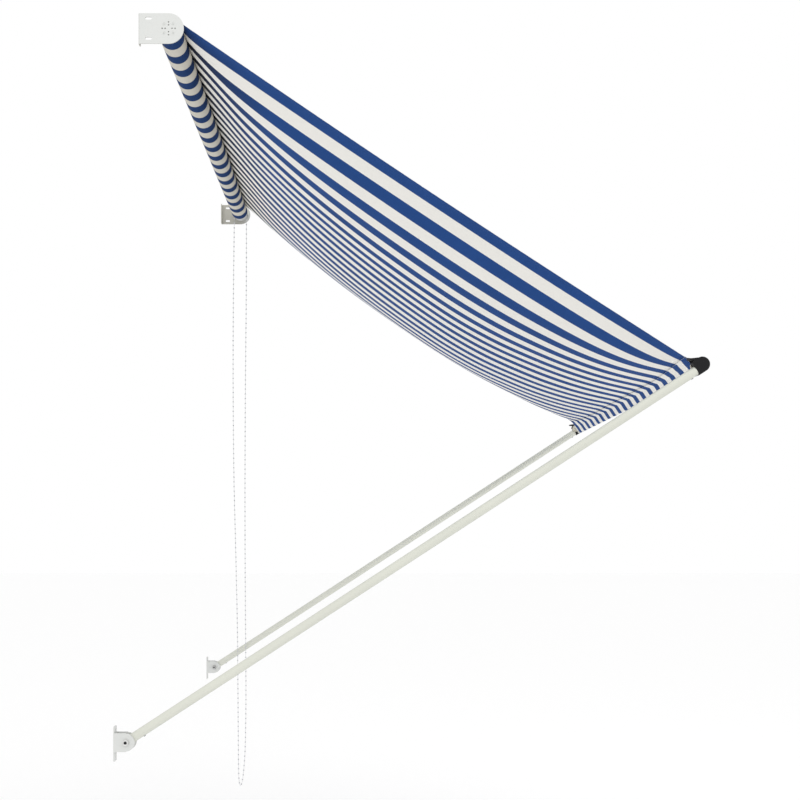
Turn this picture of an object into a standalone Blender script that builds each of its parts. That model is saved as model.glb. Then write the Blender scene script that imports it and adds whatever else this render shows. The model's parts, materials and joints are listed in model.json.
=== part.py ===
"""Drop-arm awning: a canvas on a roller between two wall brackets, its front bar held out by two arms.

X runs along the width, the wall faces lie at Y = 0 with the object on the -Y side, and Z is up.
The origin is on the left roller bracket's wall face, at the height of the roller's axis.
"""

import math

import bmesh
import bpy
from mathutils import Matrix, Vector

# Driving dimensions, in metres.
GAP = 0.0003                    # between pieces that touch
SHEET = 0.0025                  # steel of the brackets
SPAN = 1.500                    # outer face to outer face of the roller brackets
FLANGE = 0.016                  # width of a roller bracket's wall flange
BRACKET_HALF = 0.033            # half of a roller bracket's height, and its nose radius
ROLLER_Y = -0.066               # roller axis, from the wall
TUBE_R = 0.025
TUBE_WALL = 0.0015
ROLL_R = 0.0268                 # outside the turns of canvas left on the roller
CANVAS_LEFT = 0.004             # the canvas's left edge along X
CANVAS_WIDTH = 1.443
CLOTH = 0.0008
KEDER_R = 0.0030                # groove in the roller tube: its radius, its depth and its neck
KEDER_REACH = 0.0072
KEDER_NECK = 0.0024
KEDER_CENTRE = TUBE_R - 0.0042
TUBE_X0, TUBE_X1 = 0.0006, 1.4496
SMALL_HOLE_R = 0.0017           # of the screws in the roller brackets
WALL_HOLE_R = 0.0027
FOOT_WALL_Y = 0.051             # the feet's wall faces, behind those of the roller brackets
PIVOT_Y = FOOT_WALL_Y - 0.027
FOOT_Z = -1.557                 # middle of the feet's wall plates
PIVOT_Z = FOOT_Z + 0.0035
PIVOT_HOLE_R = 0.0043
FOOT_HALF = 0.0132              # half of a foot's width
EAR_R = 0.0193
ARM_OUTSET = 0.005              # arm centre, outside the roller bracket's outer face
ARM_R = 0.010
ARM_WALL = 0.001
ARM_RISE = math.radians(33.1)   # arm above the horizontal
ARM_HOLE_R = 0.0018
CAP_U = 1.4941                  # centre of the front cap's round, along the arm from its pivot
CAP_V = 0.0046                  # and above the arm's axis
CAP_R = 0.0165
CAP_FLAT_U = CAP_U - 0.0170     # the cap's flat side, which the arm meets
BAR_R = 0.015
BAR_FLAT_U = CAP_U - 0.0100     # its flat side, towards the wall
BAR_WALL = 0.0015
FOOT_SCREW_U = 0.040
CAP_SCREW_U = CAP_U - 0.0330
POCKET_R = BAR_R + 0.0018       # middle of the cloth around the front bar
SPROCKET_R = 0.0205             # centre line of the chain on the sprocket
CHAIN_R = 0.0025
CHAIN_DROP = 1.960              # lowest point of the chain below the roller's axis

# How far the canvas would hang below its taut side edges, from the roller (0) to the seam (1),
# if those edges were far away. Near them the edge holds it up, to EDGE_HOLD at most.
SAG = [(0.0, 0.0), (0.05, 0.025), (0.12, 0.063), (0.27, 0.127), (0.41, 0.169), (0.55, 0.186), (0.64, 0.170),
       (0.76, 0.120), (0.89, 0.063), (1.0, 0.011)]
EDGE_HOLD = 0.195
EDGE_SAG = 0.008                # of the side edges themselves
EDGE_TILT = math.radians(35.0)  # where on the roll the cloth leaves it, at the edges and in the middle
MID_TILT = math.radians(53.0)
EDGE_SEAM = (-0.0140, 0.0346)   # the seam above the front bar, from the cap's centre along the arm,
MID_SEAM = (-0.0185, 0.0222)    # and from the arm's axis

LEFT_FACE = -FLANGE / 2
RIGHT_FACE = LEFT_FACE + SPAN
CANVAS_RIGHT = CANVAS_LEFT + CANVAS_WIDTH
LEFT_ARM_X = LEFT_FACE - ARM_OUTSET
RIGHT_ARM_X = RIGHT_FACE + ARM_OUTSET
HUB_X = RIGHT_FACE - SHEET      # inner face of the right bracket
SPROCKET_X = RIGHT_FACE - 0.015

WHITE_PAINT = (0.76, 0.78, 0.76)
IVORY_PAINT = (0.70, 0.71, 0.64)
BLACK_PLASTIC = (0.02, 0.02, 0.022)
GREY_PLASTIC = (0.55, 0.55, 0.54)
TAN_PLASTIC = (0.62, 0.57, 0.45)
STEEL = (0.60, 0.60, 0.60)
CLOTH_BLUE = (0.03, 0.08, 0.35)


# Building blocks.

def clear_scene():
    for obj in list(bpy.data.objects):
        bpy.data.objects.remove(obj, do_unlink=True)


def make_material(name, colour, roughness, metallic=0.0):
    material = bpy.data.materials.new(name)
    material.use_nodes = True
    shader = material.node_tree.nodes["Principled BSDF"]
    shader.inputs["Base Color"].default_value = (*colour, 1.0)
    shader.inputs["Roughness"].default_value = roughness
    shader.inputs["Metallic"].default_value = metallic
    return material


def add_object(name, bm, colour, roughness=0.5, metallic=0.0, parent=None, round_piece=True):
    """Turns bm into a named object with its own material, under parent if one is given."""
    bmesh.ops.recalc_face_normals(bm, faces=bm.faces)
    mesh = bpy.data.meshes.new(name)
    bm.to_mesh(mesh)
    bm.free()
    if round_piece:
        mesh.shade_smooth()
        mesh.set_sharp_from_angle(angle=math.radians(35))
    obj = bpy.data.objects.new(name, mesh)
    obj.data.materials.append(make_material(name, colour, roughness, metallic))
    bpy.context.collection.objects.link(obj)
    obj.parent = parent
    return obj


def modify(obj, kind, other, label):
    """Adds a Boolean with another object, which is left out of the build."""
    modifier = obj.modifiers.new(label, "BOOLEAN")
    modifier.operation = kind
    modifier.object = other
    modifier.solver = "EXACT"
    other.hide_render = True
    other.display_type = "WIRE"
    other.parent = obj.parent


def arc(centre, radius, start, end, steps):
    """Points on an arc between two angles in degrees."""
    turns = [math.radians(start + (end - start) * i / steps) for i in range(steps + 1)]
    return [(centre[0] + radius * math.cos(a), centre[1] + radius * math.sin(a)) for a in turns]


def circle(centre, radius, sides=24):
    return arc(centre, radius, 0, 360, sides)[:-1]


def prism(loops, low, high, axis="X"):
    """A straight prism along axis over an outline and any holes in it. Outlines are in the two other axes."""
    bm = bmesh.new()
    edges = []
    for loop in loops:
        verts = [bm.verts.new((low, a, b) if axis == "X" else (a, b, low)) for a, b in loop]
        edges += [bm.edges.new((verts[i - 1], verts[i])) for i in range(len(verts))]
    bmesh.ops.triangle_fill(bm, edges=edges, use_beauty=True)
    top = bmesh.ops.extrude_face_region(bm, geom=bm.faces[:])["geom"]
    moved = [v for v in top if isinstance(v, bmesh.types.BMVert)]
    step = Vector((high - low, 0, 0)) if axis == "X" else Vector((0, 0, high - low))
    bmesh.ops.translate(bm, verts=moved, vec=step)
    return bm


def turned(profile, centre=(0.0, 0.0), sides=24):
    """A closed profile of (x, radius) points turned about a line along X through centre (y, z)."""
    bm = bmesh.new()
    rings = []
    for x, radius in profile:
        if radius == 0:
            rings.append([bm.verts.new((x, *centre))])
        else:
            rings.append([bm.verts.new((x, y, z)) for y, z in circle(centre, radius, sides)])
    for one, two in zip(rings, rings[1:] + rings[:1]):
        for i in range(sides):
            corners = [one[i % len(one)], one[(i + 1) % len(one)], two[(i + 1) % len(two)], two[i % len(two)]]
            corners = list(dict.fromkeys(corners))
            if len(corners) > 2:
                bm.faces.new(corners)
    return bm


def rod(x0, x1, radius, centre=(0.0, 0.0), sides=24):
    return turned([(x0, 0), (x0, radius), (x1, radius), (x1, 0)], centre, sides)


def merged(*pieces):
    """Several closed shapes in one bmesh, for a cutter."""
    bm = bmesh.new()
    for piece in pieces:
        mesh = bpy.data.meshes.new("part")
        piece.to_mesh(mesh)
        piece.free()
        bm.from_mesh(mesh)
        bpy.data.meshes.remove(mesh)
    return bm


def cutter(name, bm):
    return add_object(name, bm, (1.0, 0.2, 0.2))


def mirrored_x(bm, about):
    bmesh.ops.scale(bm, vec=(-1, 1, 1), verts=bm.verts)
    bmesh.ops.translate(bm, vec=(2 * about, 0, 0), verts=bm.verts)
    bmesh.ops.reverse_faces(bm, faces=bm.faces)
    return bm


# Roller brackets.

def hole_places():
    """Centres (y, z) of the twelve small holes around the roller's axis."""
    places = []
    for turn in range(4):
        angle = math.radians(90 * turn)
        for reach in (0.0075, 0.014):
            places.append((ROLLER_Y + reach * math.cos(angle), reach * math.sin(angle)))
    return places + screw_places()


def screw_places():
    return arc((ROLLER_Y, 0), 0.014, 45, 315, 3)


def slot_outline(y, z, length=0.015, width=0.006):
    reach = (length - width) / 2
    return arc((y + reach, z), width / 2, -90, 90, 5) + arc((y - reach, z), width / 2, 90, 270, 5)


def bracket_shape():
    """The left bracket: a folded angle, its side plate on the left and its wall flange turned inwards."""
    face, bend, blank = LEFT_FACE, 0.0035, -0.110
    outline = [(face, blank)]
    outline += arc((face + bend, -bend), bend, 180, 90, 4)
    outline += [(face + FLANGE, 0.0), (face + FLANGE, -SHEET)]
    outline += arc((face + bend, -bend), bend - SHEET, 90, 180, 3)
    outline += [(face + SHEET, blank)]
    return prism([outline], -BRACKET_HALF, BRACKET_HALF, axis="Z")


def bracket_cuts():
    """The waste outside the round nose, the slots, the small holes and the flange's screw holes."""
    low, high = LEFT_FACE - 0.004, LEFT_FACE + 0.008
    nose = arc((ROLLER_Y, 0), BRACKET_HALF, 90, 270, 20)
    past, beyond = -0.125, 0.050
    waste = nose + [(ROLLER_Y, -beyond), (past, -beyond), (past, beyond), (ROLLER_Y, beyond)]
    cuts = [prism([waste], low, high)]
    cuts += [prism([slot_outline(-0.022, z)], low, high) for z in (-0.022, 0.022)]
    cuts += [rod(low, high, SMALL_HOLE_R, place, sides=8) for place in hole_places()]
    for z in (-0.021, 0.021):
        hole = rod(-0.006, 0.004, WALL_HOLE_R, (0, 0), sides=12)
        bmesh.ops.rotate(hole, verts=hole.verts, matrix=Matrix.Rotation(math.radians(90), 3, "Z"))
        bmesh.ops.translate(hole, verts=hole.verts, vec=(LEFT_FACE + 0.0105, 0, z))
        cuts.append(hole)
    return merged(*cuts)


def roller_brackets():
    middle = (LEFT_FACE + RIGHT_FACE) / 2
    for side in ("left", "right"):
        shape, cuts = bracket_shape(), bracket_cuts()
        if side == "right":
            shape, cuts = mirrored_x(shape, middle), mirrored_x(cuts, middle)
        bracket = add_object(side + "_roller_bracket", shape, WHITE_PAINT, 0.45)
        modify(bracket, "DIFFERENCE", cutter(side + "_bracket_cuts", cuts), "cuts")


def holder_screws():
    """Small screws through each bracket into the idler holder or the clutch core."""
    for side, face, inward in (("idler", LEFT_FACE, 1), ("clutch", RIGHT_FACE, -1)):
        for number, place in enumerate(screw_places(), 1):
            head = face - inward * 0.0015
            under = face - inward * GAP
            tip = face + inward * 0.0052
            profile = [(head + inward * 0.0009, 0), (head + inward * 0.0009, 0.0009), (head, 0.0011),
                       (head, 0.0021), (under, 0.0024), (under, 0.0013), (tip, 0.0013), (tip, 0)]
            add_object(f"{side}_screw_{number}", turned(profile, place, 10), STEEL, 0.35, 1.0)


# Idler end of the roller, on the left.

def idler_holder():
    face, flange_r, pin_r, length = LEFT_FACE + SHEET + GAP, 0.0190, 0.0060, 0.0310
    profile = [(face, 0), (face, flange_r), (face + 0.0025, flange_r), (face + 0.0025, pin_r),
               (face + length - 0.001, pin_r), (face + length, pin_r - 0.001), (face + length, 0)]
    holder = add_object("idler_holder", turned(profile, (ROLLER_Y, 0), 28), GREY_PLASTIC, 0.5)
    holes = merged(*[rod(face - 0.002, face + 0.005, SMALL_HOLE_R, place, 8) for place in screw_places()])
    modify(holder, "DIFFERENCE", cutter("idler_holder_holes", holes), "screw holes")


def idler_plug():
    x, length, bore = LEFT_FACE + SHEET + 0.0036, 0.0310, 0.00635
    rim = TUBE_R - 0.0004
    body = TUBE_R - TUBE_WALL - GAP - KEDER_REACH
    profile = [(x, bore), (x, rim), (x + 0.0022, rim), (x + 0.0022, body), (x + length - 0.001, body),
               (x + length, body - 0.001), (x + length, bore)]
    add_object("idler_plug", turned(profile, (ROLLER_Y, 0), 32), BLACK_PLASTIC, 0.5)


# Roller tube, its keder groove and the canvas left on it.

def roller_tube():
    """An extruded tube. Its outline runs in through the groove's neck, round the groove and out again."""
    neck = math.degrees(math.asin(KEDER_NECK / 2 / TUBE_R))
    inner_neck = math.degrees(math.asin(KEDER_NECK / 2 / KEDER_R))
    outline = arc((0, 0), TUBE_R, 90 + neck, 450 - neck, 40)
    outline += arc((0, KEDER_CENTRE), KEDER_R, 90 - inner_neck, -270 + inner_neck, 12)
    wall_r = KEDER_R + 0.0012
    bore = TUBE_R - TUBE_WALL
    swing = math.degrees(math.acos((bore**2 + KEDER_CENTRE**2 - wall_r**2) / (2 * bore * KEDER_CENTRE)))
    meet = Vector((bore * math.sin(math.radians(swing)), bore * math.cos(math.radians(swing)) - KEDER_CENTRE))
    lean = math.degrees(math.atan2(meet.y, meet.x))
    hole = arc((0, 0), bore, 90 + swing, 450 - swing, 36)
    hole += arc((0, KEDER_CENTRE), wall_r, lean, -180 - lean, 10)[1:-1]
    bm = prism([outline, hole], TUBE_X0, TUBE_X1)
    bmesh.ops.translate(bm, verts=bm.verts, vec=(0, ROLLER_Y, 0))
    add_object("roller_tube", bm, GREY_PLASTIC, 0.35, 1.0)


def keder_strip():
    rod_shape = rod(CANVAS_LEFT, CANVAS_RIGHT, KEDER_R - GAP, (ROLLER_Y, KEDER_CENTRE), 12)
    add_object("keder_strip", rod_shape, GREY_PLASTIC, 0.6)


def canvas_roll():
    inner = TUBE_R + GAP
    profile = [(CANVAS_LEFT, inner), (CANVAS_LEFT, ROLL_R), (CANVAS_RIGHT, ROLL_R), (CANVAS_RIGHT, inner)]
    add_object("canvas_roll", turned(profile, (ROLLER_Y, 0), 40), CLOTH_BLUE, 0.9)


# Chain drive, on the right.

def clutch_core():
    """A flange on the bracket with a long round stem, which the drum and the sprocket turn on."""
    face, flange_r, stem_r, end = HUB_X - GAP, 0.0220, 0.0110, 1.3990
    profile = [(face, 0), (face, flange_r), (face - 0.0025, flange_r), (face - 0.0025, stem_r),
               (end + 0.0010, stem_r), (end, stem_r - 0.0010), (end, 0)]
    core = add_object("clutch_core", turned(profile, (ROLLER_Y, 0), 28), GREY_PLASTIC, 0.5)
    holes = merged(*[rod(face - 0.005, face + 0.002, SMALL_HOLE_R, place, 8) for place in screw_places()])
    modify(core, "DIFFERENCE", cutter("clutch_core_holes", holes), "screw holes")


def clutch_drum():
    """The drum that drives the tube, with the room for the wrap spring in its bore."""
    start, flange, stop = 1.4050, TUBE_X1 + GAP, SPROCKET_X - 0.0065
    body, bore, neck, flange_r = TUBE_R - TUBE_WALL - GAP - KEDER_REACH, 0.0135, 0.0162, 0.0242
    profile = [(start, bore), (start, body), (flange, body), (flange, flange_r), (flange + 0.0026, flange_r),
               (flange + 0.0026, neck), (stop, neck), (stop, bore)]
    add_object("clutch_drum", turned(profile, (ROLLER_Y, 0), 32), GREY_PLASTIC, 0.5)


def wrap_spring():
    """A close coil of round wire on the core, inside the drum."""
    turns, steps, pitch, start, coil_r = 4, 12, 0.0026, 1.4150, 0.0123
    curve = bpy.data.curves.new("wrap_spring", "CURVE")
    curve.dimensions = "3D"
    curve.bevel_depth = 0.0007
    curve.bevel_resolution = 0
    curve.use_fill_caps = True
    spline = curve.splines.new("POLY")
    spline.points.add(turns * steps)
    for i, point in enumerate(spline.points):
        angle = 2 * math.pi * i / steps
        x = start + pitch * i / steps
        point.co = (x, ROLLER_Y + coil_r * math.cos(angle), coil_r * math.sin(angle), 1)
    spring = bpy.data.objects.new("wrap_spring", curve)
    curve.materials.append(make_material("wrap_spring", STEEL, 0.3, 1.0))
    bpy.context.collection.objects.link(spring)


def chain_sprocket():
    """A spool with a scalloped root, so that each bead has its seat between two flanges."""
    sides, beads = 40, 8
    root, scallop, flange, bore = 0.0166, 0.0009, 0.0225, 0.0114
    stations = [(-0.0060, flange, 0), (-0.0045, flange, 0), (-0.0030, root, scallop), (0.0030, root, scallop),
                (0.0045, flange, 0), (0.0060, flange, 0), (0.0060, bore, 0), (-0.0060, bore, 0)]
    bm = bmesh.new()
    rings = []
    for offset, radius, wave in stations:
        ring = []
        for i in range(sides):
            angle = 2 * math.pi * i / sides
            reach = radius + wave * math.cos(beads * angle)
            ring.append(bm.verts.new((SPROCKET_X + offset, ROLLER_Y + reach * math.cos(angle),
                                      reach * math.sin(angle))))
        rings.append(ring)
    for one, two in zip(rings, rings[1:] + rings[:1]):
        for i in range(sides):
            bm.faces.new([one[i - 1], one[i], two[i], two[i - 1]])
    add_object("chain_sprocket", bm, GREY_PLASTIC, 0.45)


def chain_guard():
    """A curved cover over the sprocket, open below where the chain leaves it."""
    outer, inner, open_by = 0.0268, 0.0250, 8
    outline = arc((ROLLER_Y, 0), outer, -open_by, 180 + open_by, 24)
    outline += arc((ROLLER_Y, 0), inner, 180 + open_by, -open_by, 24)
    add_object("chain_guard", prism([outline], SPROCKET_X - 0.0085, HUB_X - 0.0005), WHITE_PAINT, 0.5)


def smooth_route(points, count):
    """Evenly placed points on a Catmull-Rom curve through the given ones."""
    fine = []
    for i in range(len(points) - 1):
        before, here = points[max(i - 1, 0)], points[i]
        there, after = points[i + 1], points[min(i + 2, len(points) - 1)]
        for step in range(12):
            t = step / 12
            fine.append(tuple(
                b + 0.5 * t * (c - a + t * (2 * a - 5 * b + 4 * c - d + t * (3 * b - a - 3 * c + d)))
                for a, b, c, d in zip(before, here, there, after)))
    fine.append(points[-1])
    return fine[::max(1, len(fine) // count)] + [fine[-1]]


def chain_route():
    """The endless chain, opened at the top of the sprocket: (y, z) down the front, up the back."""
    over_front = [(ROLLER_Y - SPROCKET_R * math.sin(a), SPROCKET_R * math.cos(a))
                  for a in (math.radians(d) for d in range(2, 91, 11))]
    over_back = [(2 * ROLLER_Y - y, z) for y, z in reversed(over_front)]
    down = [(-0.0868, -0.06), (-0.0860, -0.30), (-0.0832, -0.60), (-0.0818, -0.95), (-0.0826, -1.25),
            (-0.0845, -1.50), (-0.0850, -1.68), (-0.0828, -1.82), (-0.0780, -1.90), (-0.0728, -1.942),
            (-0.0685, -CHAIN_DROP + 0.004)]
    up = [(-0.0645, -CHAIN_DROP + 0.005), (-0.0612, -1.935), (-0.0600, -1.89), (-0.0590, -1.80),
          (-0.0575, -1.60), (-0.0555, -1.40), (-0.0500, -1.15), (-0.0440, -0.90), (-0.0412, -0.60),
          (-0.0420, -0.30), (-0.0448, -0.06)]
    return over_front + down + up + over_back


def bead_chain():
    route = [(SPROCKET_X, y, z) for y, z in chain_route()]
    points = smooth_route(route, 70)
    curve = bpy.data.curves.new("bead_chain", "CURVE")
    curve.dimensions = "3D"
    curve.bevel_depth = CHAIN_R
    curve.bevel_resolution = 2
    curve.use_fill_caps = True
    spline = curve.splines.new("POLY")
    spline.points.add(len(points) - 1)
    for point, place in zip(spline.points, points):
        point.co = (*place, 1)
    chain = bpy.data.objects.new("bead_chain", curve)
    curve.materials.append(make_material("bead_chain", WHITE_PAINT, 0.4))
    bpy.context.collection.objects.link(chain)


# Feet of the arms.

def foot_bracket(side, x):
    """A folded channel: a wall plate that stands above and below two round ears."""
    half, reach, round_off = FOOT_HALF, 0.038, 0.0008
    wall, inside, blank = FOOT_WALL_Y, FOOT_WALL_Y - SHEET, FOOT_WALL_Y - 0.060
    outline = [(x - half, blank), (x - half, wall - round_off), (x - half + round_off, wall),
               (x + half - round_off, wall), (x + half, wall - round_off), (x + half, blank),
               (x + half - SHEET, blank), (x + half - SHEET, inside), (x - half + SHEET, inside),
               (x - half + SHEET, blank)]
    channel = prism([outline], PIVOT_Z - EAR_R - 0.001, PIVOT_Z + EAR_R + 0.001, axis="Z")
    foot = add_object(side + "_foot_bracket", channel, WHITE_PAINT, 0.45)
    corner = 0.004
    plate = []
    for turn, (across, up) in enumerate(((1, 1), (-1, 1), (-1, -1), (1, -1))):
        centre = (x + across * (half - corner), FOOT_Z + up * (reach - corner))
        plate += arc(centre, corner, 90 * turn, 90 * turn + 90, 3)
    screws = [circle((x, FOOT_Z + z), WALL_HOLE_R, 12) for z in (-0.030, 0.030)]
    wall_plate = prism([plate] + screws, 0.0, SHEET, axis="Z")
    bmesh.ops.rotate(wall_plate, verts=wall_plate.verts, matrix=Matrix.Rotation(math.radians(90), 3, "X"))
    bmesh.ops.translate(wall_plate, verts=wall_plate.verts, vec=(0, wall, 0))
    modify(foot, "UNION", cutter(side + "_foot_plate", wall_plate), "wall plate")
    past, beyond = wall - 0.080, 0.030
    nose = arc((PIVOT_Y, PIVOT_Z), EAR_R, 90, 270, 18)
    waste = nose + [(PIVOT_Y, PIVOT_Z - beyond), (past, PIVOT_Z - beyond), (past, PIVOT_Z + beyond),
                    (PIVOT_Y, PIVOT_Z + beyond)]
    cuts = merged(prism([waste], x - 0.020, x + 0.020),
                  rod(x - 0.030, x + 0.030, PIVOT_HOLE_R, (PIVOT_Y, PIVOT_Z), 24))
    modify(foot, "DIFFERENCE", cutter(side + "_foot_cuts", cuts), "ears and bolt hole")


def pivot_bolt(side, x, outward):
    """A socket-head bolt through both ears, with its lock nut on the inner ear."""
    face = FOOT_HALF + GAP
    socket, head = 0.0035, 0.0070
    profile = [(face + 0.0016, 0), (face + 0.0016, 0.0026), (face + 0.0042, socket), (face + 0.0050, 0.0055),
               (face + 0.0042, head), (face, head), (face, 0.0040), (-face - 0.0080, 0.0040),
               (-face - 0.0085, 0.0034), (-face - 0.0085, 0)]
    placed = [(x + outward * along, radius) for along, radius in profile]
    add_object(side + "_pivot_bolt", turned(placed, (PIVOT_Y, PIVOT_Z), 24), STEEL, 0.3, 1.0)
    nut = [circle((PIVOT_Y, PIVOT_Z), 0.0072, 6), circle((PIVOT_Y, PIVOT_Z), PIVOT_HOLE_R, 24)]
    low, high = sorted((x - outward * face, x - outward * (face + 0.0065)))
    add_object(side + "_lock_nut", prism(nut, low, high), STEEL, 0.3, 1.0)


# The swinging frame. Its pieces are made with the arm lying along -Y from its pivot at the
# origin, u being the distance along the arm (so y = -u) and v the height above it.

def swing_empty():
    pivot = bpy.data.objects.new("arm_pivot", None)
    pivot.location = (0, PIVOT_Y, PIVOT_Z)
    pivot.rotation_euler = (-ARM_RISE, 0, 0)
    bpy.context.collection.objects.link(pivot)
    return pivot


def along_arm(bm, x):
    """Turns a shape made along +X so that it runs along the arm (-Y), at the arm's X."""
    bmesh.ops.rotate(bm, verts=bm.verts, matrix=Matrix.Rotation(math.radians(-90), 3, "Z"))
    bmesh.ops.translate(bm, verts=bm.verts, vec=(x, 0, 0))
    return bm


def across_arm(x, u, radius, low, high, sides=10):
    """A round bar that stands across the arm, along v."""
    bm = rod(low, high, radius, (0, 0), sides)
    bmesh.ops.rotate(bm, verts=bm.verts, matrix=Matrix.Rotation(math.radians(-90), 3, "Y"))
    bmesh.ops.translate(bm, verts=bm.verts, vec=(x, -u, 0))
    return bm


def arm_tube(side, x, pivot):
    start, tip, bore = 0.0098, CAP_FLAT_U - GAP, ARM_R - ARM_WALL
    profile = [(start, ARM_R), (tip, ARM_R), (tip, bore), (start, bore)]
    bm = along_arm(turned(profile, sides=28), x)
    tube = add_object(side + "_arm_tube", bm, IVORY_PAINT, 0.4, 0.0, pivot)
    holes = merged(*[across_arm(x, u, ARM_HOLE_R, -0.013, -0.004) for u in (FOOT_SCREW_U, CAP_SCREW_U)])
    modify(tube, "DIFFERENCE", cutter(side + "_tube_holes", holes), "screw holes")


def arm_screw(name, x, u, pivot):
    head, under, tip = -ARM_R - 0.0016, -ARM_R - GAP, -0.0035
    profile = [(head + 0.0008, 0), (head + 0.0008, 0.0012), (head, 0.0014), (head, 0.0024), (under, 0.0030),
               (under, 0.0014), (tip, 0.0014), (tip, 0)]
    bm = turned(profile, sides=10)
    bmesh.ops.rotate(bm, verts=bm.verts, matrix=Matrix.Rotation(math.radians(-90), 3, "Y"))
    bmesh.ops.translate(bm, verts=bm.verts, vec=(x, -u, 0))
    add_object(name, bm, STEEL, 0.3, 1.0, pivot)


def foot_plug(side, x, pivot):
    """An insert in the arm's lower end, with the eye that turns on the pivot bolt."""
    eye = rod(x - 0.0092, x + 0.0092, 0.0089, sides=28)
    plug = add_object(side + "_foot_plug", eye, GREY_PLASTIC, 0.5, 0.0, pivot)
    body = along_arm(rod(0.0020, 0.0600, ARM_R - ARM_WALL - GAP, sides=24), x)
    modify(plug, "UNION", cutter(side + "_plug_body", body), "body in the tube")
    cuts = merged(rod(x - 0.012, x + 0.012, PIVOT_HOLE_R, sides=24),
                  across_arm(x, FOOT_SCREW_U, ARM_HOLE_R, -0.012, -0.0028))
    modify(plug, "DIFFERENCE", cutter(side + "_plug_cuts", cuts), "bolt and screw holes")


def d_outline(flat, radius, corner):
    """A flat side towards the wall and a round front, in (y, z) with y = -u."""
    top, bottom = CAP_V + radius, CAP_V - radius
    outline = arc((-CAP_U, CAP_V), radius, 90, 270, 16)
    outline += arc((-flat - corner, bottom + corner), corner, -90, 0, 3)
    outline += arc((-flat - corner, top - corner), corner, 0, 90, 3)
    return outline


def front_bar(pivot):
    """An extruded hollow profile between the two front caps."""
    inner = d_outline(BAR_FLAT_U + BAR_WALL, BAR_R - BAR_WALL, 0.0015)
    outer = d_outline(BAR_FLAT_U, BAR_R, 0.0030)
    bar = prism([outer, inner], bar_end(LEFT_ARM_X, 1), bar_end(RIGHT_ARM_X, -1))
    add_object("front_bar", bar, WHITE_PAINT, 0.4, 0.0, pivot)


def bar_end(arm_x, inward):
    return arm_x + inward * (ARM_R + 0.0031)


def bar_plug(side, x, inward, pivot):
    """A disc that closes the front bar, with a body that fills the bar's end."""
    near, far = sorted((x + inward * (ARM_R + GAP), x + inward * (ARM_R + 0.0028)))
    disc = rod(near, far, 0.0110, (-CAP_U + 0.0090, CAP_V + 0.0045), 32)
    plug = add_object(side + "_bar_plug", disc, TAN_PLASTIC, 0.5, 0.0, pivot)
    start, end = sorted((x + inward * (ARM_R + 0.0020), x + inward * (ARM_R + 0.0260)))
    inside = d_outline(BAR_FLAT_U + BAR_WALL + GAP, BAR_R - BAR_WALL - GAP, 0.0012)
    modify(plug, "UNION", cutter(side + "_bar_plug_body", prism([inside], start, end)), "body in the bar")


def front_cap(side, x, pivot):
    """The black cap at the arm's tip: a D block with a spigot into the arm and a thin lip over a notch."""
    outline = arc((-CAP_U, CAP_V), CAP_R, 95, 270, 18)
    low, high = CAP_V - CAP_R, CAP_V + 0.0138
    outline += [(-CAP_FLAT_U, low), (-CAP_FLAT_U, high)]
    notch = [(0.0105, 0.0172), (0.0184, 0.0236), (0.0190, 0.0256), (0.0176, 0.0262)]
    outline += [(-CAP_U + back, CAP_V + up) for back, up in notch]
    block = prism([outline], x - ARM_R, x + ARM_R)
    cap = add_object(side + "_front_cap", block, BLACK_PLASTIC, 0.45, 0.0, pivot)
    spigot = along_arm(rod(CAP_U - 0.0567, CAP_FLAT_U + 0.004, ARM_R - ARM_WALL - GAP, sides=24), x)
    modify(cap, "UNION", cutter(side + "_spigot", spigot), "spigot in the tube")
    hole = across_arm(x, CAP_SCREW_U, ARM_HOLE_R, -0.012, -0.0028)
    modify(cap, "DIFFERENCE", cutter(side + "_cap_hole", hole), "screw hole")


# The canvas: one sheet from the roller to the front bar, with a pocket sewn around the bar.

def interpolated(points, at):
    """Height of the smooth curve through a few (place, value) points."""
    for i in range(len(points) - 1):
        (x0, y0), (x1, y1) = points[i], points[i + 1]
        if at <= x1:
            before = points[max(i - 1, 0)]
            after = points[min(i + 2, len(points) - 1)]
            slope0 = (y1 - before[1]) / (x1 - before[0])
            slope1 = (after[1] - y0) / (after[0] - x0)
            t, step = (at - x0) / (x1 - x0), x1 - x0
            return ((2 * t**3 - 3 * t**2 + 1) * y0 + (t**3 - 2 * t**2 + t) * slope0 * step
                    + (3 * t**2 - 2 * t**3) * y1 + (t**3 - t**2) * slope1 * step)
    return points[-1][1]


def slackness(x):
    """0 at the canvas's taut side edges and nearly 1 in the middle."""
    left = math.tanh((x - CANVAS_LEFT) / 0.26) ** 1.35
    right = math.tanh((CANVAS_RIGHT - x) / 0.28) ** 1.1
    return left * right


def hang(slack, place):
    """How far the cloth hangs below the line of its side edges' ends."""
    held, free = EDGE_HOLD * slack, interpolated(SAG, place)
    drop = held * free / max(math.hypot(held, free), 1e-9)
    return drop + EDGE_SAG * math.sin(math.pi * min(max(place, 0.0), 1.0))


def on_arm(u, v):
    """World (y, z) of a point given along and above the arm."""
    y = PIVOT_Y - u * math.cos(ARM_RISE) + v * math.sin(ARM_RISE)
    z = PIVOT_Z + u * math.sin(ARM_RISE) + v * math.cos(ARM_RISE)
    return y, z


def seam_place(lift):
    """The sewn line above the front bar: lift is 1 at the canvas's side edges and 0 in the middle."""
    along, above = (mid + (edge - mid) * lift for mid, edge in zip(MID_SEAM, EDGE_SEAM))
    return on_arm(CAP_U + along, above)


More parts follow.
